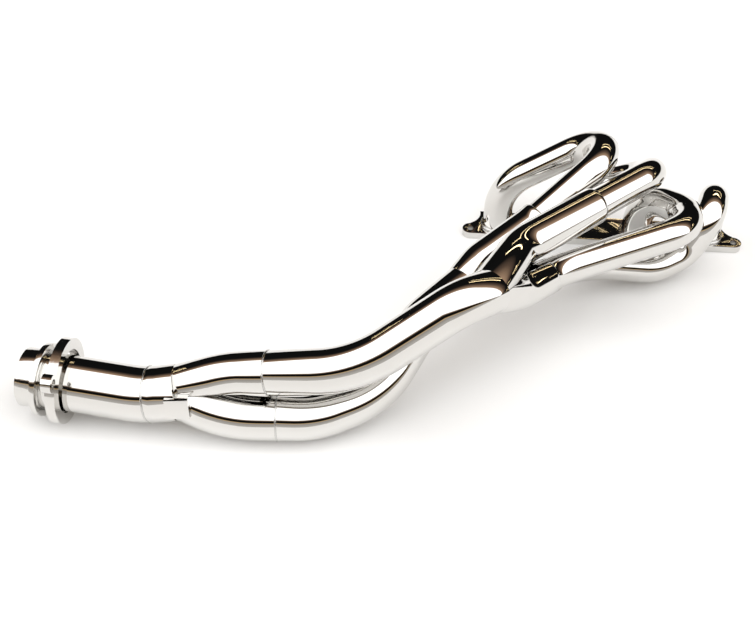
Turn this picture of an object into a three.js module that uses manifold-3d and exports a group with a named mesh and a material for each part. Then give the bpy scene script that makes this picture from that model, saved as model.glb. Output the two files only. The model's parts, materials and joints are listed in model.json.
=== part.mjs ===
// A chromed 4-2-1 exhaust header for a four-cylinder engine: four bent primaries, two two-into-one
// merges, two long secondaries, a collector, and an outlet pipe with a loose two-bolt flange.
// Units are millimetres and +Z is up. The origin lies on the gasket face of the head flange, midway
// between its two end bolt holes, and the ports stand along X with port 1 at the left.
import * as THREE from 'three';
import { mergeVertices } from 'three/addons/utils/BufferGeometryUtils.js';
import Module from 'manifold-3d';

const wasm = await Module();
wasm.setup();

const V = (x, y, z) => new THREE.Vector3(x, y, z);
const RIGHT_ANGLE = Math.PI / 2;

// ---- Driving dimensions ------------------------------------------------------------------------

// Tube stock: outside radius of each size, and the one wall.
const WALL = 1.6;
const PRIMARY_R = 19.05;
const LEG_R = 22.2;
const SECONDARY_R = 25.4;
const OUTLET_R = 31.75;

// Clearances.
const GAP = 0.3; // between pieces that touch
const SLIP_FIT = 0.6; // radial, where a tube enters a formed end

// Head flange.
const PORT_PITCH = 92;
const PORT_COUNT = 4;
const PORT_Y = 13; // the ports stand this far off the line of the end holes
const HEAD_PLATE = 9.5; // plate thickness
const HEAD_MARGIN = 5.5; // plate left around a port
const END_HOLE_SPAN = 347; // between the end bolt holes
const END_HOLE_R = 4.25;
const EAR_R = 10.5;
const EAR_APEX_IN = 8; // from an end hole back to the shoulder where its ear begins
const STUD_R = 4.5;
const STUD_ROW_Y = 31; // the upper stud row, above the ports
const PLATE_CHAMFER = 0.7;
const TUBE_RECESS = 2; // a primary stops this far short of the gasket face

// Joints between tubes.
const SLIP_DEPTH = 14; // a primary reaches this far into its merge leg
const LIP_LENGTH = 9; // formed lip of a merge leg
const THROAT = 6; // the thicker start of a common tube, where its two branches meet
const MITRE_RUN = 30; // spare length beyond a mitre, cut away by it
const BEAD = 2.2; // size of a weld bead
const PORT_BEAD = 4;

// Collector and outlet.
const COLLECTOR_LENGTH = 36;
const GUSSET_LENGTH = 26; // the plate welded over the crotch of the collector
const GUSSET_WIDTH = 24;
const GUSSET_TURN = 45; // degrees, which sets it as a diamond along the pipe
const GUSSET_STAND = 1.6; // its face above the outlet tube
const GUSSET_LEAN = 5; // degrees that its face leans down toward the two branches
const GUSSET_DROP = 22; // degrees that it sits round the pipe, below the middle of the crotch
const COLLAR_R = 41.5;
const COLLAR_THICK = 6.5;
const SPIGOT_R = 33.3;
const SPIGOT_LENGTH = 20;
const SPIGOT_OVERLAP = 7; // the pipe reaches this far past the collar's face, inside the spigot

// Loose flange.
const LOOSE_R = 48.5;
const LOOSE_THICK = 11;
const LOOSE_BORE_R = 36;
const LOOSE_BOLT_R = 53; // from its centre to each bolt hole
const LOOSE_HOLE_R = 5.5;
const LOOSE_EAR_R = 10.5;
const LOOSE_TURN = 42; // degrees that its ears stand above level
const LOOSE_YAW = 2.6; // degrees that it leans from the pipe's axis
const LOOSE_BACK = 46; // from the mouth of the outlet back to its middle

// Facets.
const SIDES = 18;
const BEND_STEP = THREE.MathUtils.degToRad(18);

// ---- Routes --------------------------------------------------------------------------------------
// A route is a list of corners, each with its bend radius; the first and the last have none.

const corner = (x, y, z, bend = 0) => ({ at: V(x, y, z), bend });
const portX = (index) => (index - (PORT_COUNT - 1) / 2) * PORT_PITCH;
const portTop = (index, height, bend) => corner(portX(index), PORT_Y, height, bend);
const portStart = (index) => corner(portX(index), PORT_Y, TUBE_RECESS);

const FRONT_MERGE = V(-150, -293, 157);
const FRONT_MERGE_AXIS = V(-0.76, -0.64, 0.11).normalize();
const REAR_MERGE = V(-178, -220, 100);
const REAR_MERGE_AXIS = V(-0.68, -0.68, -0.27).normalize();
const COLLECTOR_MOUTH = V(-483.6, -370, 50);
const COLLECTOR_AXIS = V(-0.98, -0.034, -0.194).normalize();

const after = (point, axis, distance) => point.clone().addScaledVector(axis, distance);
const at = (point, bend = 0) => ({ at: point, bend });

// Two routes that run into a common tube end side by side, each flush with the common tube's
// outside; their last corners before it say which side each takes.
const sideBySide = (meeting, axis, radius, commonRadius, first, second) => {
  const away = [first, second].map((last) => last.at.clone().sub(meeting).normalize());
  const across = away[0].sub(away[1]);
  across.addScaledVector(axis, -across.dot(axis)).normalize();
  const offset = commonRadius - radius;
  return [at(after(meeting, across, offset)), at(after(meeting, across, -offset))];
};

const lastCorners = [
  corner(-163, -190, 110, 62),
  corner(-118, -208, 152, 70),
  corner(-118, -250, 122, 60),
  corner(-120, -190, 72, 90),
];
const [end1, end4] = sideBySide(
  REAR_MERGE, REAR_MERGE_AXIS, LEG_R, SECONDARY_R, lastCorners[0], lastCorners[3],
);
const [end2, end3] = sideBySide(
  FRONT_MERGE, FRONT_MERGE_AXIS, LEG_R, SECONDARY_R, lastCorners[1], lastCorners[2],
);

const runnerCorners = [
  [
    portStart(0),
    portTop(0, 72, 70),
    corner(-20, 15, 151, 48),
    corner(-16, -53, 170, 50),
    corner(-104, -129, 121, 56),
    lastCorners[0],
    end1,
  ],
  [
    portStart(1),
    portTop(1, 66, 62),
    corner(40, 13, 102, 44),
    corner(46, -47, 150, 52),
    lastCorners[1],
    end2,
  ],
  [
    portStart(2),
    portTop(2, 70, 66),
    corner(92, -54, 98, 52),
    corner(86, -112, 115, 60),
    corner(-72, -194, 108, 90),
    lastCorners[2],
    end3,
  ],
  [
    portStart(3),
    portTop(3, 86, 31),
    corner(124, -46, 84, 31),
    corner(100, -58, 33, 34),
    corner(60, -83, 27, 56),
    corner(-30, -92, 36, 110),
    lastCorners[3],
    end4,
  ],
];

const secondaryLast = [corner(-432, -358, 70, 160), corner(-430, -385, 29.8, 160)];
const [frontBranch, rearBranch] = sideBySide(
  COLLECTOR_MOUTH, COLLECTOR_AXIS, SECONDARY_R, OUTLET_R, secondaryLast[0], secondaryLast[1],
);

const frontSecondaryCorners = [
  at(FRONT_MERGE),
  at(after(FRONT_MERGE, FRONT_MERGE_AXIS, 45), 50),
  corner(-290, -366, 97, 160),
  secondaryLast[0],
  frontBranch,
];

const rearSecondaryCorners = [
  at(REAR_MERGE),
  at(after(REAR_MERGE, REAR_MERGE_AXIS, 69), 60),
  corner(-268, -345, 40, 110),
  corner(-335, -378, 30, 100),
  secondaryLast[1],
  rearBranch,
];

const outletCorners = [
  at(COLLECTOR_MOUTH),
  at(after(COLLECTOR_MOUTH, COLLECTOR_AXIS, 41.5), 150),
  corner(-663, -358.5, 47.2),
];

// ---- Bent paths ----------------------------------------------------------------------------------

// A path of straight stretches and round bends, measured by its own length.
class BentPath {
  constructor(corners) {
    this.parts = [];
    this.length = 0;
    let from = corners[0].at;
    for (let i = 1; i < corners.length - 1; i += 1) {
      from = this.addBend(from, corners[i], corners[i + 1].at);
    }
    this.addStraight(from, corners[corners.length - 1].at);
  }

  push(part) {
    this.parts.push({ ...part, start: this.length });
    this.length += part.length;
  }

  addStraight(from, to) {
    const along = to.clone().sub(from);
    const length = along.length();
    along.normalize();
    this.push({ length, turn: 0, point: (s) => after(from, along, s), tangent: () => along.clone() });
  }

  addBend(from, here, next) {
    const inward = here.at.clone().sub(from).normalize();
    const outward = next.clone().sub(here.at).normalize();
    const turn = inward.angleTo(outward);
    const reach = here.bend * Math.tan(turn / 2);
    const begin = after(here.at, inward, -reach);
    const normal = new THREE.Vector3().crossVectors(inward, outward).normalize();
    const side = new THREE.Vector3().crossVectors(normal, inward);
    const centre = after(begin, side, here.bend);
    this.addStraight(from, begin);
    this.push({
      length: here.bend * turn,
      turn,
      point: (s) => after(centre, side.clone().applyAxisAngle(normal, s / here.bend), -here.bend),
      tangent: (s) => inward.clone().applyAxisAngle(normal, s / here.bend),
    });
    return after(here.at, outward, reach);
  }

  partAt(distance) {
    const last = this.parts[this.parts.length - 1];
    return this.parts.find((part) => distance <= part.start + part.length) ?? last;
  }

  point(distance) {
    const part = this.partAt(distance);
    return part.point(distance - part.start);
  }

  tangent(distance) {
    const part = this.partAt(distance);
    return part.tangent(distance - part.start);
  }

  // Distances of the sections that a tube between two distances needs: its ends and its bends.
  stops(begin, end) {
    const stops = [begin];
    for (const part of this.parts) {
      const count = Math.max(1, Math.ceil(part.turn / BEND_STEP));
      for (let i = 0; i <= count; i += 1) {
        const stop = part.start + (part.length * i) / count;
        if (stop > stops[stops.length - 1] + 0.5 && stop < end - 0.5) {
          stops.push(stop);
        }
      }
    }
    stops.push(end);
    return stops;
  }
}

// The stretch of a path that one piece follows, as a three.js curve with a section at each stop.
class Stretch extends THREE.Curve {
  constructor(path, begin, end) {
    super();
    this.path = path;
    this.stops = path.stops(begin, end);
    this.steps = this.stops.length - 1;
  }

  getUtoTmapping(u) {
    return u;
  }

  distance(t) {
    const place = t * this.steps;
    const index = Math.min(Math.floor(place + 1e-9), this.steps - 1);
    const share = place - index;
    return this.stops[index] * (1 - share) + this.stops[index + 1] * share;
  }

  getPoint(t) {
    return this.path.point(this.distance(t));
  }

  getTangent(t) {
    return this.path.tangent(this.distance(t));
  }
}

// ---- Solids --------------------------------------------------------------------------------------

const toSolid = (geometry) => {
  const bare = geometry.index ? geometry.toNonIndexed() : geometry.clone();
  bare.deleteAttribute('normal');
  bare.deleteAttribute('uv');
  const merged = mergeVertices(bare, 1e-4);
  const solid = new wasm.Manifold(new wasm.Mesh({
    numProp: 3,
    vertProperties: new Float32Array(merged.attributes.position.array),
    triVerts: new Uint32Array(merged.index.array),
  }));
  return solid;
};

const toGeometry = (solid) => {
  const mesh = solid.getMesh();
  const geometry = new THREE.BufferGeometry();
  geometry.setAttribute('position', new THREE.BufferAttribute(mesh.vertProperties, 3));
  geometry.setIndex(new THREE.BufferAttribute(mesh.triVerts, 1));
  return geometry;
};

const join = (solids) => solids.reduce((whole, solid) => whole.add(solid));

// A round bar along a stretch of a path.
const bar = (path, begin, end, radius) => {
  const stretch = new Stretch(path, begin, end);
  const shape = new THREE.Shape();
  shape.absarc(0, 0, radius, 0, 2 * Math.PI);
  return toSolid(new THREE.ExtrudeGeometry(shape, {
    extrudePath: stretch,
    steps: stretch.steps,
    curveSegments: SIDES / 2, // an arc is cut into twice this many
  }));
};

const BORE_OVERRUN = 3; // a bore's cutter runs this far past each open end

const tube = (path, begin, end, radius) => {
  const outer = bar(path, begin, end, radius);
  return outer.subtract(bar(path, begin - BORE_OVERRUN, end + BORE_OVERRUN, radius - WALL));
};

// Places a geometry turned about its own Y axis so that Y runs along an axis in space.
const alignY = (geometry, point, axis) => {
  const turn = new THREE.Quaternion().setFromUnitVectors(V(0, 1, 0), axis.clone().normalize());
  return geometry.applyQuaternion(turn).translate(point.x, point.y, point.z);
};

// A turned ring; the profile lists [radius, height] round one closed section.
const ring = (profile, point, axis) => {
  const section = [...profile, profile[0]].map(([radius, height]) => new THREE.Vector2(radius, height));
  return toSolid(alignY(new THREE.LatheGeometry(section, SIDES), point, axis));
};

// ---- Parts ---------------------------------------------------------------------------------------

const header = new THREE.Group();
header.name = 'exhaust_header';

const addPart = (name, solid, colour, roughness) => {
  const material = new THREE.MeshStandardMaterial({ color: colour, roughness, metalness: 1 });
  const mesh = new THREE.Mesh(toGeometry(solid), material);
  mesh.name = name;
  header.add(mesh);
  return mesh;
};

const CHROME = 0xd9dbde;
const WELD = 0xb9b7b2;
const addTube = (name, solid) => addPart(name, solid, CHROME, 0.06);
const addPlate = (name, solid) => addPart(name, solid, CHROME, 0.14);
const addWeld = (name, solid) => addPart(name, solid, WELD, 0.3);

// Head flange: a flat plate whose shoulders run down in concave curves to the two end ears.
const headOutline = () => {
  const low = -EAR_R;
  const high = PORT_Y + PRIMARY_R + HEAD_MARGIN;
  const hole = END_HOLE_SPAN / 2;
  const shoulder = hole - EAR_APEX_IN;
  const outline = new THREE.Shape();
  outline.moveTo(-hole, low);
  outline.lineTo(hole, low);
  outline.absarc(hole, 0, EAR_R, -RIGHT_ANGLE, THREE.MathUtils.degToRad(52));
  outline.quadraticCurveTo(shoulder + 1, 14, shoulder - 4, high);
  outline.lineTo(4 - shoulder, high);
  outline.quadraticCurveTo(-shoulder - 1, 14, -hole - EAR_R * 0.616, EAR_R * 0.788);
  outline.absarc(-hole, 0, EAR_R, THREE.MathUtils.degToRad(128), 3 * RIGHT_ANGLE);
  return outline;
};

const roundHole = (x, y, radius) => new THREE.Path().absarc(x, y, radius, 0, 2 * Math.PI, true);

const headFlange = () => {
  const plate = headOutline();
  for (let i = 0; i < PORT_COUNT; i += 1) {
    plate.holes.push(roundHole(portX(i), PORT_Y, PRIMARY_R + SLIP_FIT));
  }
  for (const side of [-1, 1]) {
    plate.holes.push(roundHole((side * END_HOLE_SPAN) / 2, 0, END_HOLE_R));
    plate.holes.push(roundHole(side * PORT_PITCH, 0, STUD_R));
  }
  for (const side of [-1, 0, 1]) {
    plate.holes.push(roundHole(side * PORT_PITCH, STUD_ROW_Y, STUD_R));
  }
  return toSolid(new THREE.ExtrudeGeometry(plate, {
    depth: HEAD_PLATE - 2 * PLATE_CHAMFER,
    bevelThickness: PLATE_CHAMFER,
    bevelSize: PLATE_CHAMFER,
    bevelOffset: -PLATE_CHAMFER,
    bevelSegments: 1,
    curveSegments: 7,
  }).translate(0, 0, PLATE_CHAMFER));
};

addPlate('head_flange', headFlange());

// Radius of a faceted bore whose flats still clear a round of this radius.
const clearBore = (radius) => (radius + GAP) / Math.cos(Math.PI / SIDES);

// Weld bead: a rounded ring round a tube, with one flat foot.
const beadProfile = (radius, size) => {
  const inner = clearBore(radius);
  return [
    [inner, 0],
    [inner + size, 0],
    [inner + size * 0.9, size * 0.45],
    [inner + size * 0.5, size * 0.85],
    [inner, size],
  ];
};

// Butt seam: a low rounded ring over the gap between two tubes in line.
const seamProfile = (radius, width) => {
  const inner = clearBore(radius);
  const crown = inner + 0.9;
  return [[inner, -width], [crown, -width * 0.5], [crown, width * 0.5], [inner, width]];
};

for (let i = 0; i < PORT_COUNT; i += 1) {
  const foot = V(portX(i), PORT_Y, HEAD_PLATE + GAP);
  addWeld(`port_weld_${i + 1}`, ring(beadProfile(PRIMARY_R, PORT_BEAD), foot, V(0, 0, 1)));
}

// Runners: each is one path from its port to its merge, cut into a primary and a larger merge leg
// whose formed lip takes the primary.
const SLIP_BACK = [134, 212, 114, 142]; // from each path's end back to the lip of its merge leg
const runners = runnerCorners.map((corners) => new BentPath(corners));

// A formed lip: a turned ring that brings the leg's bore down to the primary's outside.
const lip = (path, mouth) => {
  const bore = PRIMARY_R + SLIP_FIT;
  const outer = LEG_R;
  const inner = LEG_R - WALL * 0.5;
  const profile = [
    [bore, 0],
    [bore + 1.1, -0.5],
    [outer - 1, 0.6],
    [outer - 0.02, 3.2],
    [outer - 0.02, LIP_LENGTH],
    [inner, LIP_LENGTH],
    [bore, LIP_LENGTH * 0.55],
  ];
  return ring(profile, path.point(mouth), path.tangent(mouth));
};

// Everything on one side of a plane that stands a clearance off a point, along its normal.
const halfSpace = (point, normal, clearance) => {
  const size = 300;
  const box = new THREE.BoxGeometry(size, size, size);
  return toSolid(alignY(box, after(point, normal, clearance + size / 2), normal));
};

// A junction of two branches and a common tube. Each branch meets the common tube along a mitre
// plane, and the branches part along the plane between their mitres.
class Junction {
  constructor(meeting, axis, paths) {
    this.meeting = meeting;
    this.paths = paths;
    this.mitres = paths.map((path) => path.tangent(path.length).add(axis).normalize());
  }

  // What a branch keeps of itself.
  branchSide(solid, index) {
    const mitre = this.mitres[index];
    const parting = this.mitres[1 - index].clone().sub(mitre).normalize();
    return solid
      .intersect(halfSpace(this.meeting, mitre.clone().negate(), GAP))
      .intersect(halfSpace(this.meeting, parting, GAP));
  }

  // What the common tube keeps, grown by a margin.
  commonSide(solid, margin) {
    return this.mitres.reduce(
      (kept, mitre) => kept.intersect(halfSpace(this.meeting, mitre, -margin)),
      solid,
    );
  }

  // A common tube with a solid throat that the two branches' bores run through.
  commonTube(path, end, radius, branchRadius) {
    const outer = bar(path, -MITRE_RUN, end, radius);
    const bore = bar(path, THROAT, end + BORE_OVERRUN, radius - WALL);
    const branches = this.paths.map((branch) => (
      bar(branch, branch.length - MITRE_RUN, branch.length + THROAT + 1, branchRadius - WALL)
    ));
    return this.commonSide(outer, 0).subtract(join([bore, ...branches]));
  }
}

const rearMerge = new Junction(REAR_MERGE, REAR_MERGE_AXIS, [runners[0], runners[3]]);
const frontMerge = new Junction(FRONT_MERGE, FRONT_MERGE_AXIS, [runners[1], runners[2]]);
const mergeOf = [[rearMerge, 0], [frontMerge, 0], [frontMerge, 1], [rearMerge, 1]];

runners.forEach((path, i) => {
  const mouth = path.length - SLIP_BACK[i];
  const [merge, place] = mergeOf[i];
  addTube(`primary_${i + 1}`, tube(path, 0, mouth + SLIP_DEPTH, PRIMARY_R));
  const leg = tube(path, mouth + 3, path.length + MITRE_RUN, LEG_R).add(lip(path, mouth));
  addTube(`merge_leg_${i + 1}`, merge.branchSide(leg, place));
});

// Secondaries: an upper length from each merge, then a lower length on to the collector.
const frontPath = new BentPath(frontSecondaryCorners);
const rearPath = new BentPath(rearSecondaryCorners);
const SEAM_AT = [270, 280]; // from the front and the rear merge to their butt welds
addTube('front_secondary_upper', frontMerge.commonTube(frontPath, SEAM_AT[0], SECONDARY_R, LEG_R));
addTube('rear_secondary_upper', rearMerge.commonTube(rearPath, SEAM_AT[1], SECONDARY_R, LEG_R));

const outletPath = new BentPath(outletCorners);
const collectorJunction = new Junction(COLLECTOR_MOUTH, COLLECTOR_AXIS, [frontPath, rearPath]);
for (const [index, side] of ['front', 'rear'].entries()) {
  const path = collectorJunction.paths[index];
  const seam = SEAM_AT[index];
  const whole = tube(path, seam + GAP, path.length + MITRE_RUN, SECONDARY_R);
  addTube(`${side}_secondary_lower`, collectorJunction.branchSide(whole, index));
  const place = path.point(seam + GAP / 2);
  addWeld(`${side}_seam_weld`, ring(seamProfile(SECONDARY_R, BEAD), place, path.tangent(seam)));
}

addTube('collector', collectorJunction.commonTube(outletPath, COLLECTOR_LENGTH, OUTLET_R, SECONDARY_R));

// Collector gusset: a small plate over the crotch, shaped to the three tubes under it.
const gusset = () => {
  const away = collectorJunction.paths.map((path) => path.tangent(path.length).negate());
  const across = away[0].clone().sub(away[1]).normalize();
  const facing = new THREE.Vector3().crossVectors(across, COLLECTOR_AXIS).normalize();
  facing.applyAxisAngle(across, THREE.MathUtils.degToRad(GUSSET_LEAN));
  facing.applyAxisAngle(COLLECTOR_AXIS, THREE.MathUtils.degToRad(-GUSSET_DROP));
  const height = OUTLET_R + GUSSET_STAND;
  const plate = new THREE.BoxGeometry(GUSSET_LENGTH, height, GUSSET_WIDTH)
    .rotateY(THREE.MathUtils.degToRad(GUSSET_TURN));
  const block = toSolid(alignY(plate, after(COLLECTOR_MOUTH, facing, height / 2), facing));
  const common = bar(outletPath, -MITRE_RUN, COLLECTOR_LENGTH, OUTLET_R + GAP);
  const branches = collectorJunction.paths.map((path, index) => (
    bar(path, SEAM_AT[index] + GAP, path.length + THROAT, SECONDARY_R + GAP)
  ));
  return block.subtract(join([collectorJunction.commonSide(common, GAP), ...branches]));
};

addPlate('collector_gusset', gusset());

const outletEnd = outletPath.length;
const pipeEnd = outletEnd - SPIGOT_LENGTH + SPIGOT_OVERLAP;
addTube('outlet_pipe', tube(outletPath, COLLECTOR_LENGTH + GAP, pipeEnd, OUTLET_R));
addWeld('outlet_seam_weld', ring(
  seamProfile(OUTLET_R, BEAD),
  outletPath.point(COLLECTOR_LENGTH + GAP / 2),
  outletPath.tangent(COLLECTOR_LENGTH),
));

// Outlet end: a spigot sleeved over the pipe, and a collar on the sleeve that holds the flange.
const endAxis = outletPath.tangent(outletEnd);
const endPoint = (back) => outletPath.point(outletEnd - back);

const spigot = () => {
  const bore = clearBore(OUTLET_R);
  const sleeve = SPIGOT_LENGTH + COLLAR_THICK;
  const pipeStop = COLLAR_THICK + SPIGOT_OVERLAP + GAP;
  return ring([
    [bore, 0],
    [SPIGOT_R - 0.4, 0],
    [SPIGOT_R, 0.6],
    [SPIGOT_R, sleeve - 0.8],
    [SPIGOT_R - 0.6, sleeve],
    [bore - 1.4, sleeve],
    [bore - 1.4, pipeStop],
    [bore, pipeStop],
  ], endPoint(sleeve), endAxis);
};

const collar = () => {
  const bore = clearBore(SPIGOT_R);
  const edge = 0.7;
  return ring([
    [bore, 0],
    [COLLAR_R - edge, 0],
    [COLLAR_R, edge],
    [COLLAR_R, COLLAR_THICK - edge],
    [COLLAR_R - edge, COLLAR_THICK],
    [bore, COLLAR_THICK],
  ], endPoint(SPIGOT_LENGTH + COLLAR_THICK), endAxis);
};

addPlate('outlet_spigot', spigot());
addPlate('outlet_collar', collar());

// Loose flange: a two-bolt ring whose bore clears the pipe, so that it turns to suit its bolts.
const looseOutline = () => {
  const outline = new THREE.Shape();
  const earTurn = 1.15; // radians that an ear's arc runs each side of its bolt line
  const ringTurn = 0.62; // radians from the bolt line to where the fillet meets the ring
  const fillet = 0.34;
  const place = (angle, radius) => [radius * Math.cos(angle), radius * Math.sin(angle)];
  for (const line of [0, Math.PI]) {
    const [earX, earY] = place(line, LOOSE_BOLT_R);
    const [tipX, tipY] = place(line - Math.PI - earTurn, LOOSE_EAR_R);
    const [nextX, nextY] = place(line + Math.PI, LOOSE_BOLT_R);
    outline.absarc(earX, earY, LOOSE_EAR_R, line - earTurn, line + earTurn);
    outline.quadraticCurveTo(...place(line + fillet, LOOSE_R), ...place(line + ringTurn, LOOSE_R));
    outline.absarc(0, 0, LOOSE_R, line + ringTurn, line + Math.PI - ringTurn);
    outline.quadraticCurveTo(...place(line + Math.PI - fillet, LOOSE_R), nextX + tipX, nextY + tipY);
  }
  return outline;
};

const looseFlange = () => {
  const plate = looseOutline();
  plate.holes.push(roundHole(0, 0, LOOSE_BORE_R));
  for (const side of [-1, 1]) {
    plate.holes.push(roundHole(side * LOOSE_BOLT_R, 0, LOOSE_HOLE_R));
  }
  return new THREE.ExtrudeGeometry(plate, {
    depth: LOOSE_THICK - 2 * PLATE_CHAMFER,
    bevelThickness: PLATE_CHAMFER,
    bevelSize: PLATE_CHAMFER,
    bevelOffset: -PLATE_CHAMFER,
    bevelSegments: 1,
    curveSegments: 10,
  }).translate(0, 0, PLATE_CHAMFER - LOOSE_THICK / 2);
};

// It hangs on the pipe behind the collar, turned a little from square, with its ring on the floor.
const looseAxis = endAxis.clone().applyAxisAngle(V(0, 0, 1), THREE.MathUtils.degToRad(LOOSE_YAW));
const looseCentre = endPoint(LOOSE_BACK);
const looseLean = Math.hypot(looseAxis.x, looseAxis.y);
looseCentre.z = LOOSE_R * looseLean + (LOOSE_THICK / 2) * Math.abs(looseAxis.z);
const level = new THREE.Vector3().crossVectors(V(0, 0, 1), looseAxis).normalize();
const rise = new THREE.Vector3().crossVectors(looseAxis, level);
const looseFrame = new THREE.Matrix4().makeBasis(level, rise, looseAxis);
const placedLoose = looseFlange()
  .rotateZ(THREE.MathUtils.degToRad(LOOSE_TURN))
  .applyMatrix4(looseFrame)
  .translate(looseCentre.x, looseCentre.y, looseCentre.z);
addPlate('outlet_flange', toSolid(placedLoose));

export default header;
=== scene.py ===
"""A chromed exhaust header for a four-cylinder engine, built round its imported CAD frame.

The file is laid out as an add-on whose operators each build one kind of piece, and is run as a
script. Lengths in its constants, routes and functions are millimetres. The objects and the panel's
sizes are in metres.
"""

import json
import math

import bpy
from mathutils import Matrix, Vector


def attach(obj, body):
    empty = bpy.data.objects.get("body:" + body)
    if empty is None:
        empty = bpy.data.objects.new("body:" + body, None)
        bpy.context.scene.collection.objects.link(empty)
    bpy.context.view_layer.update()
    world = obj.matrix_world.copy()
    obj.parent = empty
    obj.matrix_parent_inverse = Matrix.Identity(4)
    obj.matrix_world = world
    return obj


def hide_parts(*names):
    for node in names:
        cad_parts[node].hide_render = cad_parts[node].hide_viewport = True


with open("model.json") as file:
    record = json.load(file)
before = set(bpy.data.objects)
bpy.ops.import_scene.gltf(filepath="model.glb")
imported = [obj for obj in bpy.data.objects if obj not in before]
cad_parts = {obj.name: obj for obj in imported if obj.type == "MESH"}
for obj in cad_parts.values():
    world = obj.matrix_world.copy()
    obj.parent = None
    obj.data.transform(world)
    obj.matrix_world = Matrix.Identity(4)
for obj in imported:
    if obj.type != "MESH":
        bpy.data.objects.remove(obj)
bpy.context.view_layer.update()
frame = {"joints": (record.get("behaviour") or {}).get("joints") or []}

bl_info = {
    "name": "Exhaust Header",
    "version": (1, 0, 0),
    "blender": (4, 5, 0),
    "location": "View3D > Sidebar > Header",
    "description": "Builds a chromed four-into-two-into-one exhaust header",
    "category": "Add Mesh",
}

MM = 0.001
UP = Vector((0, 0, 1))
HEADER_BODY = "header"
LOOSE_BODY = "loose_flange"

# ---- Sizes shared by the pieces, in millimetres ---------------------------------------------------

WALL = 1.6
PRIMARY_R = 19.05
LEG_R = 22.2
SECONDARY_R = 25.4
OUTLET_R = 31.75
PLATE_THICK = 9.5

# Gaps between pieces that touch, and the clearance round a tube in its hole.
GAP = 0.3
HOLE_FIT = 0.35

# Slip joints: how far a merge leg's mouth lies from the merge, how far the primary goes in, and the
# steps of the mouth's rounded shoulder as (distance along, share of the rise).
SLIP_BACK = (134, 212, 114, 142)
SLIP_DEPTH = 14
LEG_WALL_SHARE = 0.8
SHOULDER = ((0, 0.12), (0.15, 0.35), (0.7, 0.62), (1.7, 0.84), (3.2, 0.96), (5.5, 1.0))

# Junctions: how far the tubes run past the meeting before they are cut, the length of the solid
# throat past it, and how far the branches' bores run on into the common one.
MITRE_RUN = 30
THROAT = 6
BORE_LAP = 1
SEAM_AT = (270, 280)
COLLECTOR_LENGTH = 36

# The head flange lies in x and y with its gasket face on the floor. Round hollows cut into its back
# edge at each end leave the two ears.
PORT_PITCH = 92
PORT_X = tuple((index - 1.5) * PORT_PITCH for index in range(4))
PORT_Y = 13
HEAD_EAR_X = 173.5
HEAD_EAR_R = 10.5
HEAD_EAR_HOLE_R = 4.25
HEAD_BACK_Y = 37.55
HOLLOW_X = 186
HOLLOW_Y = 33.5
HOLLOW_R = 25.2
STUD_HOLE_R = 4.5
STUDS = ((-PORT_PITCH, 0), (PORT_PITCH, 0), (-PORT_PITCH, 31), (0, 31), (PORT_PITCH, 31))

# The outlet's end. The pipe stops inside the spigot, whose sleeve reaches back under the collar.
PIPE_SHORT = 13
SPIGOT_LENGTH = 20
SPIGOT_R = 33.3
SPIGOT_BORE_R = 30.9
COLLAR_THICK = 6.5
COLLAR_R = 41.5
COLLAR_BORE_R = 33.6

LOOSE_THICK = 11
LOOSE_R = 48.5
LOOSE_BORE_R = 36
LOOSE_EAR_AT = 53
LOOSE_EAR_R = 10.5
LOOSE_HOLE_R = 5.5
LOOSE_EAR_RISE = math.radians(42)

GUSSET_LENGTH = 26
GUSSET_WIDTH = 24
GUSSET_STAND = 3.0
GUSSET_LEAN = math.radians(5)
GUSSET_ROLL = math.radians(-22)

# Weld beads: a port's bead round its tube's foot, and a seam's flatter one.
PUDDLE = 4.8
BEAD_SIDES = 10
PUDDLE_SINK = 0.16
PORT_BEAD_THICK = 2.6
PORT_BEAD_OUT = 0.9
PORT_BEAD_RISE = 1.2
SEAM_BEAD_THICK = 0.9
SEAM_BEAD_SQUEEZE = 1.5

# The lamps' pattern: how often a row repeats along x, and the sine above which it is lit.
LAMP_LENGTHS = 5.0
LAMP_BREAK = 0.1

# How finely round things are drawn, how far cutters reach past what they cut, and how edges are
# rounded and shaded.
SHORTEST_RUN = 0.01
SIDES = 72
RING_SIDES = 96
FLANGE_SIDES = 128
HOLE_SIDES = 48
BEND_STEP = math.radians(3)
OVERCUT = 3
SLEEVE_OVERCUT = 2
MITRE_BEVEL = 0.45
MITRE_BEVEL_FROM = 35
CRISP = 25

# Where the tubes meet, and which way each common tube leaves.
FRONT_MERGE = Vector((-150, -293, 157))
FRONT_AXIS = Vector((-0.76, -0.64, 0.11)).normalized()
REAR_MERGE = Vector((-178, -220, 100))
REAR_AXIS = Vector((-0.68, -0.68, -0.27)).normalized()
COLLECTOR_MOUTH = Vector((-483.6, -370, 50))
COLLECTOR_AXIS = Vector((-0.98, -0.034, -0.194)).normalized()


def place(point, bend=0):
    return (*point, bend)


def side_by_side(meeting, axis, offset, first, second):
    """The ends of two routes, each set off the common axis towards its own last corner."""
    away = [(Vector(last[:3]) - meeting).normalized() for last in (first, second)]
    across = away[0] - away[1]
    across = (across - axis * across.dot(axis)).normalized()
    return place(meeting + across * offset), place(meeting - across * offset)


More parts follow.
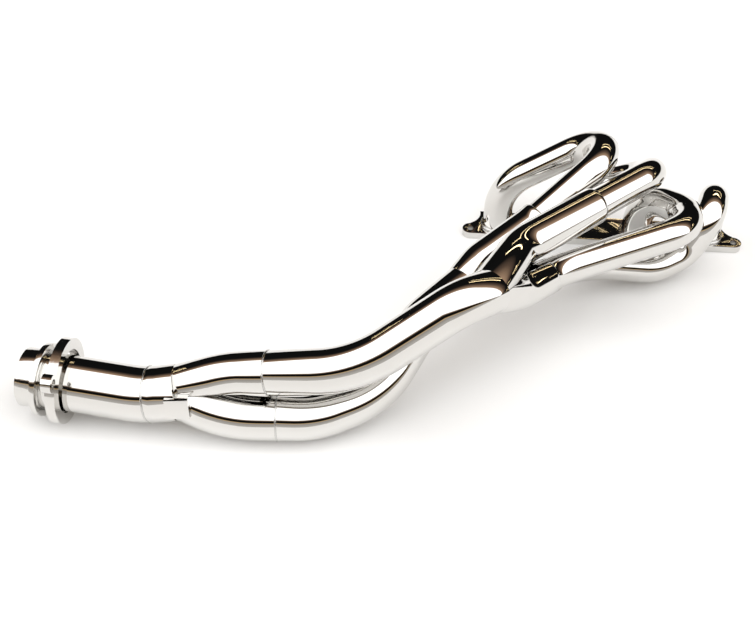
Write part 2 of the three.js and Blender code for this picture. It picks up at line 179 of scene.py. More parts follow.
# Corners of each route: x, y, z and bend radius. The last bend before a junction comes first.
LAST_BENDS = (
    (-163, -190, 110, 62),
    (-118, -208, 152, 70),
    (-118, -250, 122, 60),
    (-120, -190, 72, 90),
)
FRONT_LAST = (-432, -358, 70, 160)
REAR_LAST = (-430, -385, 29.8, 160)
END_1, END_4 = side_by_side(REAR_MERGE, REAR_AXIS, SECONDARY_R - LEG_R, LAST_BENDS[0],
                            LAST_BENDS[3])
END_2, END_3 = side_by_side(FRONT_MERGE, FRONT_AXIS, SECONDARY_R - LEG_R, LAST_BENDS[1],
                            LAST_BENDS[2])
FRONT_BRANCH, REAR_BRANCH = side_by_side(COLLECTOR_MOUTH, COLLECTOR_AXIS,
                                         OUTLET_R - SECONDARY_R, FRONT_LAST, REAR_LAST)
RUNNERS = (
    (
        (PORT_X[0], PORT_Y, 2, 0),
        (PORT_X[0], PORT_Y, 72, 70),
        (-20, 15, 151, 48),
        (-16, -53, 170, 50),
        (-104, -129, 121, 56),
        LAST_BENDS[0],
        END_1,
    ),
    (
        (PORT_X[1], PORT_Y, 2, 0),
        (PORT_X[1], PORT_Y, 66, 62),
        (40, 13, 102, 44),
        (46, -47, 150, 52),
        LAST_BENDS[1],
        END_2,
    ),
    (
        (PORT_X[2], PORT_Y, 2, 0),
        (PORT_X[2], PORT_Y, 70, 66),
        (92, -54, 98, 52),
        (86, -112, 115, 60),
        (-72, -194, 108, 90),
        LAST_BENDS[2],
        END_3,
    ),
    (
        (PORT_X[3], PORT_Y, 2, 0),
        (PORT_X[3], PORT_Y, 86, 31),
        (124, -46, 84, 31),
        (100, -58, 33, 34),
        (60, -83, 27, 56),
        (-30, -92, 36, 110),
        LAST_BENDS[3],
        END_4,
    ),
)
FRONT_SECONDARY = (
    place(FRONT_MERGE),
    place(FRONT_MERGE + FRONT_AXIS * 45, 50),
    (-290, -366, 97, 160),
    FRONT_LAST,
    FRONT_BRANCH,
)
REAR_SECONDARY = (
    place(REAR_MERGE),
    place(REAR_MERGE + REAR_AXIS * 69, 60),
    (-268, -345, 40, 110),
    (-335, -378, 30, 100),
    REAR_LAST,
    REAR_BRANCH,
)
OUTLET = (
    place(COLLECTOR_MOUTH),
    place(COLLECTOR_MOUTH + COLLECTOR_AXIS * 41.5, 150),
    (-663, -358.5, 47.2, 0),
)


# ---- Bent paths -----------------------------------------------------------------------------------


class BentPath:
    """A path of straight stretches and round bends, measured by its own length."""

    def __init__(self, corners):
        points = [Vector(corner[:3]) for corner in corners]
        self.parts = []
        self.length = 0.0
        begin = points[0]
        for here, bend, following in zip(points[1:-1], [c[3] for c in corners[1:-1]], points[2:]):
            begin = self.add_bend(begin, here, following, bend)
        self.add_straight(begin, points[-1])

    def add(self, part):
        self.parts.append({**part, "start": self.length})
        self.length += part["length"]

    def add_straight(self, begin, end):
        along = end - begin
        self.add({"length": along.length, "turn": 0.0, "begin": begin, "along": along.normalized()})

    def add_bend(self, begin, here, following, bend):
        inward = (here - begin).normalized()
        outward = (following - here).normalized()
        turn = inward.angle(outward)
        reach = bend * math.tan(turn / 2)
        normal = inward.cross(outward).normalized()
        start = here - inward * reach
        self.add_straight(begin, start)
        self.add({
            "length": bend * turn,
            "turn": turn,
            "begin": start,
            "along": inward,
            "normal": normal,
            "centre": start + normal.cross(inward) * bend,
        })
        return here + outward * reach

    def part_at(self, distance):
        for part in self.parts:
            if distance <= part["start"] + part["length"]:
                return part
        return self.parts[-1]

    def turned(self, part, distance):
        return Matrix.Rotation(part["turn"] * distance / part["length"], 3, part["normal"])

    def point(self, distance):
        part = self.part_at(distance)
        inside = distance - part["start"]
        if not part["turn"]:
            return part["begin"] + part["along"] * inside
        arm = part["begin"] - part["centre"]
        return part["centre"] + self.turned(part, inside) @ arm

    def along(self, distance):
        part = self.part_at(distance)
        if not part["turn"]:
            return part["along"].copy()
        return self.turned(part, distance - part["start"]) @ part["along"]


RUNNER_PATHS = [BentPath(corners) for corners in RUNNERS]
FRONT_PATH = BentPath(FRONT_SECONDARY)
REAR_PATH = BentPath(REAR_SECONDARY)
OUTLET_PATH = BentPath(OUTLET)


class Junction:
    """Where two branches meet a common tube, all cut against each other along mitre planes."""

    def __init__(self, meeting, axis, paths):
        self.meeting = meeting
        self.paths = paths
        self.mitres = [(path.along(path.length) + axis).normalized() for path in paths]

    def branch_side(self, piece, index):
        """What a branch keeps of itself: its side of its mitre and of the parting plane."""
        mitre = self.mitres[index]
        parting = (self.mitres[1 - index] - mitre).normalized()
        keep_side(piece, self.meeting - mitre * GAP, -mitre)
        keep_side(piece, self.meeting + parting * GAP, parting)
        return piece

    def common_side(self, piece, margin):
        for mitre in self.mitres:
            keep_side(piece, self.meeting - mitre * margin, mitre)
        return piece

    def common_tube(self, name, path, end, radius, branch_radius):
        """The common tube, with a solid throat that both branches' bores run through."""
        wall = chosen("wall")
        whole = self.common_side(rod(name, path, -MITRE_RUN, end, radius), 0)
        bores = [rod("bore", path, THROAT, end + OVERCUT, radius - wall)]
        for branch in self.paths:
            bores.append(rod("bore", branch, branch.length - MITRE_RUN,
                             branch.length + THROAT + BORE_LAP, branch_radius - wall))
        return combine(whole, bores, "DIFFERENCE")


FRONT_MERGE_JUNCTION = Junction(FRONT_MERGE, FRONT_AXIS, (RUNNER_PATHS[1], RUNNER_PATHS[2]))
REAR_MERGE_JUNCTION = Junction(REAR_MERGE, REAR_AXIS, (RUNNER_PATHS[0], RUNNER_PATHS[3]))
COLLECTOR = Junction(COLLECTOR_MOUTH, COLLECTOR_AXIS, (FRONT_PATH, REAR_PATH))
MERGE_OF = (
    (REAR_MERGE_JUNCTION, 0),
    (FRONT_MERGE_JUNCTION, 0),
    (FRONT_MERGE_JUNCTION, 1),
    (REAR_MERGE_JUNCTION, 1),
)


# ---- Modelling ------------------------------------------------------------------------------------


def start_fresh():
    if bpy.context.object and bpy.context.object.mode != "OBJECT":
        bpy.ops.object.mode_set(mode="OBJECT")
    bpy.ops.object.select_all(action="DESELECT")


def select_only(piece):
    start_fresh()
    piece.select_set(True)
    bpy.context.view_layer.objects.active = piece


def named(name):
    piece = bpy.context.object
    piece.name = name
    piece.data.name = name
    bpy.ops.object.transform_apply(location=True, rotation=True, scale=True)
    return piece


def turn_to(direction):
    return direction.to_track_quat("Z", "Y").to_euler()


def ring_at(name, path, distance, radius):
    """A circle of edges round a path, ready in edit mode to be drawn along it."""
    start_fresh()
    bpy.ops.mesh.primitive_circle_add(
        vertices=SIDES,
        radius=radius * MM,
        location=path.point(distance) * MM,
        rotation=turn_to(path.along(distance)),
    )
    piece = named(name)
    bpy.ops.object.mode_set(mode="EDIT")
    bpy.ops.mesh.select_all(action="SELECT")
    return piece


def draw_along(path, begin, end):
    """Draws the selected ring along a path: straight runs by extrusion, bends by a spin."""
    for index, part in enumerate(path.parts):
        last = index == len(path.parts) - 1
        low = begin if index == 0 else max(begin, part["start"])
        high = end if last else min(end, part["start"] + part["length"])
        if high - low < SHORTEST_RUN:
            continue
        if part["turn"]:
            turn = part["turn"] * (high - low) / part["length"]
            bpy.ops.mesh.spin(
                steps=max(2, math.ceil(turn / BEND_STEP)),
                angle=-turn,
                center=part["centre"] * MM,
                axis=part["normal"],
                use_auto_merge=False,
            )
        else:
            step = part["along"] * (high - low) * MM
            bpy.ops.mesh.extrude_region_move(TRANSFORM_OT_translate={"value": step})


def step_to(path, begin, end, scale):
    """One step along a path that also changes the ring's radius."""
    draw_along(path, begin, end)
    if scale != 1:
        bpy.ops.transform.resize(value=(scale,) * 3, center_override=path.point(end) * MM)


def outward(piece):
    bpy.ops.mesh.select_all(action="SELECT")
    bpy.ops.mesh.normals_make_consistent(inside=False)
    bpy.ops.object.mode_set(mode="OBJECT")
    return piece


def shell(name, path, begin, end, radius, profile=()):
    """An open tube wall along a path. The profile lists (distance, radius) steps at its start."""
    first = profile[0] if profile else (begin, radius)
    piece = ring_at(name, path, first[0], first[1])
    here, now = first
    for distance, wanted in profile[1:]:
        step_to(path, here, distance, wanted / now)
        here, now = distance, wanted
    draw_along(path, here, end)
    return outward(piece)


def rod(name, path, begin, end, radius):
    """A closed round bar along a path."""
    piece = ring_at(name, path, begin, radius)
    draw_along(path, begin, end)
    bpy.ops.object.mode_set(mode="OBJECT")
    bpy.ops.object.mode_set(mode="EDIT")
    bpy.ops.mesh.select_all(action="DESELECT")
    bpy.ops.mesh.select_non_manifold(extend=False, use_boundary=True, use_wire=False,
                                     use_multi_face=False, use_non_contiguous=False,
                                     use_verts=False)
    bpy.ops.mesh.fill_holes(sides=0)
    return outward(piece)


def apply(piece, kind, **settings):
    select_only(piece)
    modifier = piece.modifiers.new(kind.lower(), kind)
    for key, value in settings.items():
        setattr(modifier, key, value)
    bpy.ops.object.modifier_apply(modifier=modifier.name)


def thicken(piece, wall):
    # The inner wall made here takes the piece's second material, the painted shade of the bore.
    apply(piece, "SOLIDIFY", thickness=wall * MM, offset=-1, use_even_offset=False, use_rim=True,
          material_offset=1)


def combine(piece, others, operation):
    for other in others:
        apply(piece, "BOOLEAN", operation=operation, solver="MANIFOLD", object=other)
        bpy.data.objects.remove(other)
    return piece


def keep_side(piece, point, normal):
    """Cuts a piece by a plane, closes the cut and keeps the side that the normal points to."""
    select_only(piece)
    bpy.ops.object.mode_set(mode="EDIT")
    bpy.ops.mesh.select_all(action="SELECT")
    bpy.ops.mesh.bisect(plane_co=point * MM, plane_no=normal, use_fill=True, clear_inner=True)
    bpy.ops.object.mode_set(mode="OBJECT")
    return piece


def soften(piece, width, angle=40):
    apply(piece, "BEVEL", width=width * MM, segments=2, limit_method="ANGLE",
          angle_limit=math.radians(angle), harden_normals=False)


def smooth(piece, angle):
    select_only(piece)
    bpy.ops.object.shade_smooth_by_angle(angle=math.radians(angle))


def finish_piece(piece, materials, body, slot, *nodes):
    piece.data.materials.clear()
    for material in materials:
        piece.data.materials.append(material)
    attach(piece, body)
    if nodes:
        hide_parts(*nodes)
    return piece


def cylinder(name, point, direction, radius, depth, sides=SIDES):
    start_fresh()
    bpy.ops.mesh.primitive_cylinder_add(
        vertices=sides,
        radius=radius * MM,
        depth=depth * MM,
        location=point * MM,
        rotation=turn_to(direction),
    )
    return named(name)


def block(name, low, high):
    start_fresh()
    centre = (Vector(low) + Vector(high)) / 2
    bpy.ops.mesh.primitive_cube_add(size=1, location=centre * MM)
    bpy.context.object.scale = (Vector(high) - Vector(low)) * MM
    return named(name)


# ---- Materials ------------------------------------------------------------------------------------


class Number:
    """A number in a material. Arithmetic on it adds the Math nodes."""

    def __init__(self, nodes, socket):
        self.nodes = nodes
        self.socket = socket

    def math(self, operation, *others):
        inputs = {0: self.socket}
        for index, other in enumerate(others):
            inputs[index + 1] = other
        node = self.nodes.add("ShaderNodeMath", {"operation": operation}, inputs)
        return Number(self.nodes, node.outputs[0])

    def __add__(self, other):
        return self.math("ADD", other)

    __radd__ = __add__

    def __mul__(self, other):
        return self.math("MULTIPLY", other)

    def __sub__(self, other):
        return self.math("SUBTRACT", other)


class Nodes:
    """The nodes of one material or world."""

    def __init__(self, owner):
        owner.use_nodes = True
        self.tree = owner.node_tree
        self.tree.nodes.clear()

    def add(self, kind, settings=None, inputs=None):
        node = self.tree.nodes.new(kind)
        for key, value in (settings or {}).items():
            if key == "stops":
                self.set_stops(node.color_ramp, value)
            else:
                setattr(node, key, value)
        for key, value in (inputs or {}).items():
            if isinstance(value, Number):
                value = value.socket
            if isinstance(value, bpy.types.NodeSocket):
                self.tree.links.new(value, node.inputs[key])
            else:
                node.inputs[key].default_value = value
        return node

    def set_stops(self, ramp, stops):
        while len(ramp.elements) > 1:
            ramp.elements.remove(ramp.elements[-1])
        for index, (position, colour) in enumerate(stops):
            element = ramp.elements[0] if index == 0 else ramp.elements.new(position)
            element.position = position
            element.color = (*colour, 1)

    def number(self, node, output=0):
        return Number(self, node.outputs[output])

    def noise(self, vector, scale, detail=3, roughness=0.5):
        node = self.add("ShaderNodeTexNoise", None, {
            "Vector": vector, "Scale": scale, "Detail": detail, "Roughness": roughness,
        })
        return self.number(node, "Fac")

    def ramp(self, value, stops):
        node = self.add("ShaderNodeValToRGB", {"stops": stops}, {"Fac": value})
        return node.outputs["Color"]

    def mix_colour(self, factor, first, second):
        node = self.add("ShaderNodeMix", {"data_type": "RGBA"}, {0: factor, 6: first, 7: second})
        return node.outputs[2]


def grey(value):
    return (value, value, value)


def metal(name, colour, tint, roughness, spread, grain, bump, bump_scale):
    """A plated metal: its tint and gloss drift slowly, and its surface ripples a little."""
    material = bpy.data.materials.new(name)
    nodes = Nodes(material)
    place_on = nodes.add("ShaderNodeTexCoord").outputs["Object"]
    drift = nodes.noise(place_on, scale=14, detail=2)
    film = nodes.noise(place_on, grain, detail=5, roughness=0.62)
    ripple = nodes.noise(place_on, bump_scale, detail=2)
    colour_out = nodes.mix_colour(drift, (*colour, 1), (*tint, 1))
    gloss = roughness + (film - 0.35) * spread
    height = nodes.add("ShaderNodeBump", None, {
        "Strength": bump, "Distance": 0.0004, "Height": ripple,
    })
    shader = nodes.add("ShaderNodeBsdfPrincipled", None, {
        "Base Color": colour_out,
        "Metallic": 1.0,
        "Roughness": gloss,
        "Normal": height.outputs[0],
    })
    nodes.add("ShaderNodeOutputMaterial", None, {"Surface": shader.outputs[0]})
    return material


MATERIALS = {}


def make_materials(look):
    chrome = tuple(look.chrome)
    warm = tuple(look.chrome_warm)
    MATERIALS["tube"] = metal("chrome_tube", chrome, warm, roughness=0.022, spread=0.06, grain=90,
                              bump=0.035, bump_scale=60)
    MATERIALS["plate"] = metal("chrome_plate", chrome, warm, roughness=0.07, spread=0.16,
                               grain=140, bump=0.10, bump_scale=320)
    MATERIALS["weld"] = metal("chrome_weld", warm, grey(0.42), roughness=0.16, spread=0.30,
                              grain=260, bump=0.5, bump_scale=900)
    # The inner walls of the tubes get a dark brownish grey: painted shade inside the bores.
    MATERIALS["bore"] = metal("bare_bore", grey(0.30), (0.20, 0.15, 0.11), roughness=0.45,
                              spread=0.3, grain=200, bump=0.5, bump_scale=500)


# ---- Settings -------------------------------------------------------------------------------------


def length_prop(name, description, default):
    return bpy.props.FloatProperty(name=name, description=description, default=default * MM,
                                   min=0, unit="LENGTH", precision=4)


def colour_prop(name, description, default):
    return bpy.props.FloatVectorProperty(name=name, description=description, default=default,
                                         subtype="COLOR", size=3, min=0, max=1)


class HeaderSizes(bpy.types.PropertyGroup):
    wall: length_prop("Wall", "Wall thickness of the tubes", WALL)
    primary_radius: length_prop("Primary radius", "Outside radius of the primaries", PRIMARY_R)
    leg_radius: length_prop("Leg radius", "Outside radius of the merge legs", LEG_R)
    secondary_radius: length_prop("Secondary radius", "Outside radius of the secondaries",
                                  SECONDARY_R)
    outlet_radius: length_prop("Outlet radius", "Outside radius of the outlet pipe", OUTLET_R)
    plate: length_prop("Head plate", "Thickness of the head flange", PLATE_THICK)


class HeaderLook(bpy.types.PropertyGroup):
    chrome: colour_prop("Chrome", "Colour of the plating", (0.72, 0.715, 0.70))
    chrome_warm: colour_prop("Warm chrome", "Colour of thinner plating", (0.66, 0.645, 0.62))
    floor: colour_prop("Floor", "Colour of the floor", (0.90, 0.895, 0.885))


def chosen(key):
    """One of the panel's sizes, in millimetres."""
    return getattr(bpy.context.scene.header_sizes, key) / MM


# ---- Operators ------------------------------------------------------------------------------------


class HEADER_OT_primaries(bpy.types.Operator):
    """Bends the four primary tubes and slips them through the head flange"""

    bl_idname = "header.primaries"
    bl_label = "Primary tubes"

    def execute(self, context):
        radius = chosen("primary_radius")
        for index, path in enumerate(RUNNER_PATHS):
            end = path.length - SLIP_BACK[index] + SLIP_DEPTH
            name = f"primary_tube_{index + 1}"
            tube = shell(name, path, 0, end, radius)
            thicken(tube, chosen("wall"))
            smooth(tube, angle=40)
            finish_piece(tube, (MATERIALS["tube"], MATERIALS["bore"]), HEADER_BODY, "tube",
                         f"primary_{index + 1}")
        return {"FINISHED"}


def lip_profile(mouth, radius, leg):
    """The rounded shoulder of a tube swaged down over a smaller one."""
    rise = leg - radius
    return [(mouth + along, radius + rise * share) for along, share in SHOULDER]


class HEADER_OT_merge_legs(bpy.types.Operator):
    """Forms the four larger legs that take the primaries into the merges"""

    bl_idname = "header.merge_legs"
    bl_label = "Merge legs"

    def execute(self, context):
        leg = chosen("leg_radius")
        radius = chosen("primary_radius")
        for index, path in enumerate(RUNNER_PATHS):
            mouth = path.length - SLIP_BACK[index]
            end = path.length + MITRE_RUN
            profile = lip_profile(mouth, radius, leg)
            tube = shell(f"merge_leg_tube_{index + 1}", path, mouth, end, leg, profile)
            thicken(tube, chosen("wall") * LEG_WALL_SHARE)
            merge, side = MERGE_OF[index]
            merge.branch_side(tube, side)
            soften(tube, MITRE_BEVEL, MITRE_BEVEL_FROM)
            smooth(tube, CRISP)
            finish_piece(tube, (MATERIALS["tube"], MATERIALS["bore"]), HEADER_BODY, "tube",
                         f"merge_leg_{index + 1}")
        return {"FINISHED"}


class HEADER_OT_upper_secondaries(bpy.types.Operator):
    """Forms the upper secondaries, each mitred and bored to meet a pair of legs"""

    bl_idname = "header.upper_secondaries"
    bl_label = "Upper secondaries"

    def execute(self, context):
        for side, junction, path, seam in (
            ("front", FRONT_MERGE_JUNCTION, FRONT_PATH, SEAM_AT[0]),
            ("rear", REAR_MERGE_JUNCTION, REAR_PATH, SEAM_AT[1]),
        ):
            whole = junction.common_tube(f"{side}_upper_secondary", path, seam, SECONDARY_R, LEG_R)
            soften(whole, MITRE_BEVEL, MITRE_BEVEL_FROM)
            smooth(whole, CRISP)
            finish_piece(whole, (MATERIALS["tube"],), HEADER_BODY, "tube",
                         f"{side}_secondary_upper")
        return {"FINISHED"}


class HEADER_OT_lower_secondaries(bpy.types.Operator):
    """Bends the lower secondaries and mitres them against each other"""

    bl_idname = "header.lower_secondaries"
    bl_label = "Lower secondaries"

    def execute(self, context):
        radius = chosen("secondary_radius")
        for index, side in enumerate(("front", "rear")):
            path = COLLECTOR.paths[index]
            tube = shell(f"{side}_lower_secondary", path, SEAM_AT[index] + GAP,
                         path.length + MITRE_RUN, radius)
            thicken(tube, chosen("wall"))
            COLLECTOR.branch_side(tube, index)
            soften(tube, MITRE_BEVEL, MITRE_BEVEL_FROM)
            smooth(tube, CRISP)
            finish_piece(tube, (MATERIALS["tube"], MATERIALS["bore"]), HEADER_BODY, "tube",
                         f"{side}_secondary_lower")
        return {"FINISHED"}


class HEADER_OT_outlet(bpy.types.Operator):
    """Makes the collector, the outlet pipe, its spigot and its collar"""

    bl_idname = "header.outlet"
    bl_label = "Outlet"

    def execute(self, context):
        radius = chosen("outlet_radius")
        wall = chosen("wall")
        whole = COLLECTOR.common_tube("collector_cup", OUTLET_PATH, COLLECTOR_LENGTH, radius,
                                      SECONDARY_R)
        soften(whole, MITRE_BEVEL, MITRE_BEVEL_FROM)
        smooth(whole, CRISP)
        finish_piece(whole, (MATERIALS["tube"],), HEADER_BODY, "tube", "collector")

        end = OUTLET_PATH.length
        pipe = shell("outlet_tube", OUTLET_PATH, COLLECTOR_LENGTH + GAP,
                     end - PIPE_SHORT, radius)
        thicken(pipe, wall)
        smooth(pipe, angle=35)
        finish_piece(pipe, (MATERIALS["tube"], MATERIALS["bore"]), HEADER_BODY, "tube",
                     "outlet_pipe")

        along = OUTLET_PATH.along(end)
        tip = OUTLET_PATH.point(end)
        sleeve = SPIGOT_LENGTH + COLLAR_THICK
        spigot = cylinder("outlet_spigot_ring", tip - along * sleeve / 2, along, SPIGOT_R, sleeve,
                          RING_SIDES)
        bores = [
            cylinder("bore", tip - along * sleeve / 2, along, SPIGOT_BORE_R,
                     sleeve + 2 * SLEEVE_OVERCUT, RING_SIDES),
            cylinder("socket", tip - along * (PIPE_SHORT + sleeve) / 2, along, radius + HOLE_FIT,
                     sleeve - PIPE_SHORT + 2 * HOLE_FIT, RING_SIDES),
        ]
        combine(spigot, bores, "DIFFERENCE")
        soften(spigot, width=0.6)
        smooth(spigot, CRISP)
        finish_piece(spigot, (MATERIALS["plate"],), HEADER_BODY, "plate", "outlet_spigot")

        middle = tip - along * (SPIGOT_LENGTH + COLLAR_THICK / 2)
        collar = cylinder("outlet_collar_ring", middle, along, COLLAR_R, COLLAR_THICK,
                          RING_SIDES)
        bore = cylinder("bore", middle, along, COLLAR_BORE_R,
                        COLLAR_THICK + 2 * SLEEVE_OVERCUT, RING_SIDES)
        combine(collar, [bore], "DIFFERENCE")
        soften(collar, width=0.7)
        smooth(collar, CRISP)
        finish_piece(collar, (MATERIALS["plate"],), HEADER_BODY, "plate", "outlet_collar")
        return {"FINISHED"}


class HEADER_OT_gusset(bpy.types.Operator):
    """Cuts the small plate over the crotch of the collector and fits it to the tubes"""

    bl_idname = "header.gusset"
    bl_label = "Collector gusset"

    def execute(self, context):
        first, second = (-path.along(path.length) for path in COLLECTOR.paths)
        across = (first - second).normalized()
        facing = across.cross(COLLECTOR_AXIS).normalized()
        facing.rotate(Matrix.Rotation(GUSSET_LEAN, 3, across))
        facing.rotate(Matrix.Rotation(GUSSET_ROLL, 3, COLLECTOR_AXIS))
        height = OUTLET_R + GUSSET_STAND
        start_fresh()
        bpy.ops.mesh.primitive_cube_add(size=1)
        plate = bpy.context.object
        plate.scale = (GUSSET_LENGTH * MM, GUSSET_WIDTH * MM, height * MM)
        bpy.ops.object.transform_apply(location=False, rotation=False, scale=True)
        lengthwise = Vector((1, 0, -1)).normalized()
        lengthwise.rotate(Vector((0, 1, 0)).rotation_difference(facing))
        frame_of_plate = Matrix((lengthwise, facing.cross(lengthwise), facing)).transposed()
        plate.rotation_euler = frame_of_plate.to_euler()
        plate.location = (COLLECTOR_MOUTH + facing * height / 2) * MM
        plate = named("collector_gusset_plate")
        common = rod("common", OUTLET_PATH, -MITRE_RUN, COLLECTOR_LENGTH, OUTLET_R + GAP)
        cuts = [COLLECTOR.common_side(common, GAP)]
        for path, seam in zip(COLLECTOR.paths, SEAM_AT):
            cuts.append(rod("branch", path, seam + GAP, path.length + THROAT, SECONDARY_R + GAP))
        combine(plate, cuts, "DIFFERENCE")
        soften(plate, 0.5, MITRE_BEVEL_FROM)
        smooth(plate, CRISP)
        finish_piece(plate, (MATERIALS["plate"],), HEADER_BODY, "plate", "collector_gusset")
        return {"FINISHED"}


class HEADER_OT_head_flange(bpy.types.Operator):
    """Cuts the head flange with its two ears, its ports and its stud holes"""

    bl_idname = "header.head_flange"
    bl_label = "Head flange"

    def execute(self, context):
        thick = chosen("plate")
        middle = thick / 2
        through = thick + 2 * OVERCUT
        plate = block("head_flange_plate", (-HEAD_EAR_X, -HEAD_EAR_R, 0),
                      (HEAD_EAR_X, HEAD_BACK_Y, thick))
        ears = [cylinder("ear", Vector((side * HEAD_EAR_X, 0, middle)), UP, HEAD_EAR_R, thick)
                for side in (-1, 1)]
        combine(plate, ears, "UNION")
        cuts = [cylinder("hollow", Vector((side * HOLLOW_X, HOLLOW_Y, middle)), UP, HOLLOW_R,
                         through, FLANGE_SIDES)
                for side in (-1, 1)]
        port = chosen("primary_radius") + HOLE_FIT
        cuts += [cylinder("port", Vector((x, PORT_Y, middle)), UP, port, through) for x in PORT_X]
        cuts += [cylinder("hole", Vector((side * HEAD_EAR_X, 0, middle)), UP, HEAD_EAR_HOLE_R,
                          through, HOLE_SIDES)
                 for side in (-1, 1)]
        cuts += [cylinder("hole", Vector((x, y, middle)), UP, STUD_HOLE_R, through, HOLE_SIDES)
                 for x, y in STUDS]
        combine(plate, cuts, "DIFFERENCE")
        soften(plate, width=0.8)
        smooth(plate, CRISP)
        finish_piece(plate, (MATERIALS["plate"],), HEADER_BODY, "plate", "head_flange")
        return {"FINISHED"}


class HEADER_OT_loose_flange(bpy.types.Operator):
    """Cuts the loose two-bolt flange that turns on the outlet pipe"""

    bl_idname = "header.loose_flange"
    bl_label = "Loose flange"

    def execute(self, context):
        joint = frame["joints"][0]
        centre = Vector(joint["pos_m"]) / MM
        along = Vector(joint["axis"]).normalized()
        level = UP.cross(along).normalized()
        rise = along.cross(level)
        ear_line = level * math.cos(LOOSE_EAR_RISE) + rise * math.sin(LOOSE_EAR_RISE)
        eyes = [centre + ear_line * side * LOOSE_EAR_AT for side in (-1, 1)]
        through = LOOSE_THICK + 2 * OVERCUT
        ring = cylinder("loose_flange_ring", centre, along, LOOSE_R, LOOSE_THICK, FLANGE_SIDES)
        ears = [cylinder("ear", eye, along, LOOSE_EAR_R, LOOSE_THICK) for eye in eyes]
        combine(ring, ears, "UNION")
        cuts = [cylinder("bore", centre, along, LOOSE_BORE_R, through, FLANGE_SIDES)]
        cuts += [cylinder("hole", eye, along, LOOSE_HOLE_R, through, HOLE_SIDES) for eye in eyes]
        combine(ring, cuts, "DIFFERENCE")
        soften(ring, width=0.8)
        smooth(ring, CRISP)
        finish_piece(ring, (MATERIALS["plate"],), LOOSE_BODY, "plate", "outlet_flange")
        return {"FINISHED"}


def bead(name, point, direction, radius, thick, squeeze=1.0):
    """A weld bead: a torus whose every third section is drawn in, as weld puddles leave it."""
    start_fresh()
    sections = 3 * round(2 * math.pi * radius / PUDDLE)
    bpy.ops.mesh.primitive_torus_add(
        location=point * MM,
        rotation=turn_to(direction),
        major_segments=sections,
        minor_segments=BEAD_SIDES,
        major_radius=radius * MM,
        minor_radius=thick * MM,
    )
    bpy.context.object.scale = (1, 1, squeeze)
    piece = named(name)
    for vertex in piece.data.vertices:
        vertex.select = (vertex.index // BEAD_SIDES) % 3 == 0
    select_only(piece)
    bpy.ops.object.mode_set(mode="EDIT")
    bpy.ops.mesh.select_mode(type="VERT")
    bpy.ops.transform.shrink_fatten(value=-PUDDLE_SINK * thick * MM)
    bpy.ops.object.mode_set(mode="OBJECT")
    apply(piece, "SUBSURF", levels=1, render_levels=1)
    smooth(piece, angle=60)
    return piece


class HEADER_OT_welds(bpy.types.Operator):
    """Lays the weld beads round the ports and over the butt seams"""

    bl_idname = "header.welds"
    bl_label = "Weld beads"

    def execute(self, context):
        radius = chosen("primary_radius")
        top = chosen("plate")
        for index, x in enumerate(PORT_X):
            foot = Vector((x, PORT_Y, top + PORT_BEAD_RISE))
            ring = bead(f"port_bead_{index + 1}", foot, UP, radius + PORT_BEAD_OUT,
                        PORT_BEAD_THICK)
            finish_piece(ring, (MATERIALS["weld"],), HEADER_BODY, "weld", f"port_weld_{index + 1}")
        seams = (
            ("front_seam", FRONT_PATH, SEAM_AT[0], "secondary_radius"),
            ("rear_seam", REAR_PATH, SEAM_AT[1], "secondary_radius"),
            ("outlet_seam", OUTLET_PATH, COLLECTOR_LENGTH, "outlet_radius"),
        )
        for name, path, seam, size in seams:
            middle = seam + GAP / 2
            ring = bead(f"{name}_bead", path.point(middle), path.along(middle), chosen(size),
                        SEAM_BEAD_THICK, SEAM_BEAD_SQUEEZE)
            finish_piece(ring, (MATERIALS["weld"],), HEADER_BODY, "weld", f"{name}_weld")
        return {"FINISHED"}


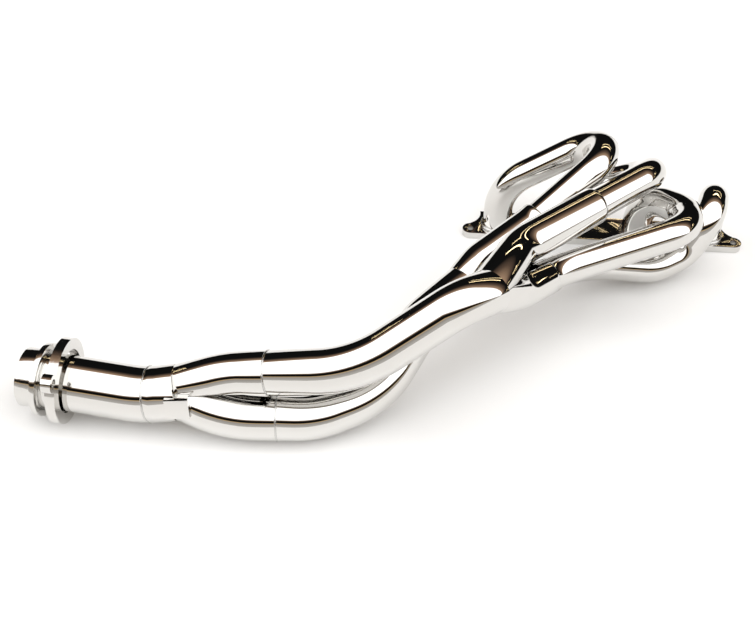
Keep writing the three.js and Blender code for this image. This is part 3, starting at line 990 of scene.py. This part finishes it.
class HEADER_OT_stage(bpy.types.Operator):
    """Lays the floor and sets the camera and the soft light"""

    bl_idname = "header.stage"
    bl_label = "Stage"

    def execute(self, context):
        scene = context.scene
        self.floor(scene)
        self.camera(scene)
        self.sky(scene)
        scene.view_settings.view_transform = "Standard"
        return {"FINISHED"}

    def floor(self, scene):
        start_fresh()
        bpy.ops.mesh.primitive_plane_add(size=8, location=(0, 0, -0.0002))
        floor = named("floor")
        material = bpy.data.materials.new("pale_floor")
        nodes = Nodes(material)
        place_on = nodes.add("ShaderNodeTexCoord").outputs["Object"]
        mottle = nodes.noise(place_on, scale=3)
        colour = tuple(scene.header_look.floor)
        tone = nodes.mix_colour(mottle, (*colour, 1), (*(0.98 * part for part in colour), 1))
        shader = nodes.add("ShaderNodeBsdfPrincipled", None, {
            "Base Color": tone, "Roughness": 0.9, "Specular IOR Level": 0.1,
        })
        nodes.add("ShaderNodeOutputMaterial", None, {"Surface": shader.outputs[0]})
        floor.data.materials.append(material)

    def camera(self, scene):
        eye = Vector((-187.3, -1247.4, 999.8)) * MM
        aim = Vector((-282.6, -179.4, 0)) * MM
        bpy.ops.object.camera_add(location=eye,
                                  rotation=(aim - eye).to_track_quat("-Z", "Y").to_euler())
        camera = bpy.context.object
        camera.data.lens = 56.27
        camera.data.sensor_width = 36
        scene.camera = camera

    def lamp_row(self, swing, at, half_width):
        return (swing - at).math("ABSOLUTE").math("LESS_THAN", half_width)

    def sky(self, scene):
        """A dark room with one broad white softbox overhead and a few small warm lamps behind."""
        world = bpy.data.worlds.new("studio")
        scene.world = world
        nodes = Nodes(world)
        direction = nodes.add("ShaderNodeTexCoord").outputs["Generated"]
        split = nodes.add("ShaderNodeSeparateXYZ", None, {0: direction})
        x, y, z = (nodes.number(split, index) for index in range(3))
        # The swing runs from 0 at the front horizon over the zenith at 0.5 to 1 at the back one.
        swing = (z.math("ARCTAN2", y * -1.0)) * (1 / math.pi)
        band = nodes.ramp(swing, (
            (0.0, (0.62, 0.60, 0.57)),
            (0.085, (0.40, 0.37, 0.34)),
            (0.100, (0.85, 0.60, 0.30)),
            (0.112, grey(0.006)),
            (0.165, grey(0.006)),
            (0.185, (0.32, 0.21, 0.13)),
            (0.205, grey(2.1)),
            (0.615, grey(2.1)),
            (0.630, (0.52, 0.34, 0.22)),
            (0.690, (0.13, 0.085, 0.06)),
            (0.735, grey(0.008)),
            (1.0, grey(0.006)),
        ))
        # Lamp tubes hang in the dark part, in short lengths.
        reach = x.math("DIVIDE", y.math("ABSOLUTE") + z.math("ABSOLUTE"))
        broken = (reach * LAMP_LENGTHS).math("SINE").math("GREATER_THAN", LAMP_BREAK)
        near = self.lamp_row(swing, 0.775, 0.0035)
        far = self.lamp_row(swing, 0.815, 0.0022)
        lamp = (near + far * 0.7) * broken
        lit = nodes.mix_colour(lamp, band, (5.0, 3.9, 2.2, 1))
        background = nodes.add("ShaderNodeBackground", None, {"Color": lit, "Strength": 1.0})
        nodes.add("ShaderNodeOutputWorld", None, {"Surface": background.outputs[0]})


OPERATORS = (
    HEADER_OT_stage,
    HEADER_OT_head_flange,
    HEADER_OT_primaries,
    HEADER_OT_merge_legs,
    HEADER_OT_upper_secondaries,
    HEADER_OT_lower_secondaries,
    HEADER_OT_outlet,
    HEADER_OT_gusset,
    HEADER_OT_loose_flange,
    HEADER_OT_welds,
)


class HEADER_PT_panel(bpy.types.Panel):
    """Lists the pieces of the header"""

    bl_idname = "HEADER_PT_panel"
    bl_label = "Exhaust header"
    bl_space_type = "VIEW_3D"
    bl_region_type = "UI"
    bl_category = "Header"

    def draw(self, context):
        for group in (context.scene.header_sizes, context.scene.header_look):
            for key in group.__annotations__:
                self.layout.prop(group, key)
        for operator in OPERATORS:
            self.layout.operator(operator.bl_idname)


CLASSES = (HeaderSizes, HeaderLook, *OPERATORS, HEADER_PT_panel)


def register():
    for item in CLASSES:
        bpy.utils.register_class(item)
    bpy.types.Scene.header_sizes = bpy.props.PointerProperty(type=HeaderSizes)
    bpy.types.Scene.header_look = bpy.props.PointerProperty(type=HeaderLook)


def unregister():
    del bpy.types.Scene.header_look
    del bpy.types.Scene.header_sizes
    for item in reversed(CLASSES):
        bpy.utils.unregister_class(item)


def main():
    register()
    make_materials(bpy.context.scene.header_look)
    for operator in OPERATORS:
        group, name = operator.bl_idname.split(".")
        getattr(getattr(bpy.ops, group), name)()
    start_fresh()
    bpy.context.view_layer.update()


if __name__ == "__main__":
    main()
